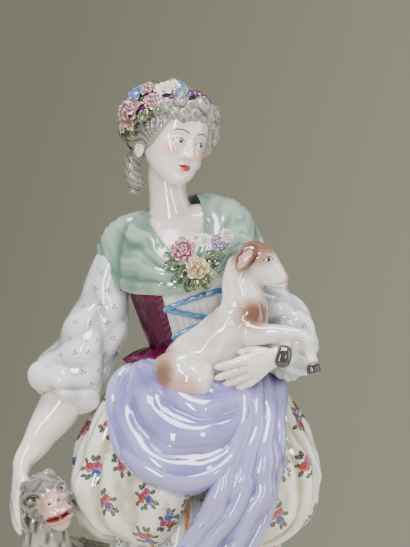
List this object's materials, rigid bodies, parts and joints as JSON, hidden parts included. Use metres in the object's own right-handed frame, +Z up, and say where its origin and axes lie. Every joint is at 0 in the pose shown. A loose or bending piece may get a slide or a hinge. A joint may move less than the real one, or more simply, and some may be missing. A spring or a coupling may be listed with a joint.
{
  "type": "porcelain shepherdess figure group",
  "caption": "Porcelain figure of a shepherdess in eighteenth-century dress who holds a lamb and rests her hand on a sheep, on a low rocky base.",
  "frame": {"origin": "middle of the base's flat underside", "axes": "+Z up along the figure, the long way of the object; the shepherdess's body faces -Y and +X is to her left"},
  "size_m": [0.1533, 0.1234, 0.3318],
  "materials": {
    "glazed_porcelain": "glossy clear glaze over painted enamel colours"
  },
  "bodies": {
    "root": {"shepherdess_with_lamb_and_sheep": "glazed_porcelain"}
  },
  "joints": []
}
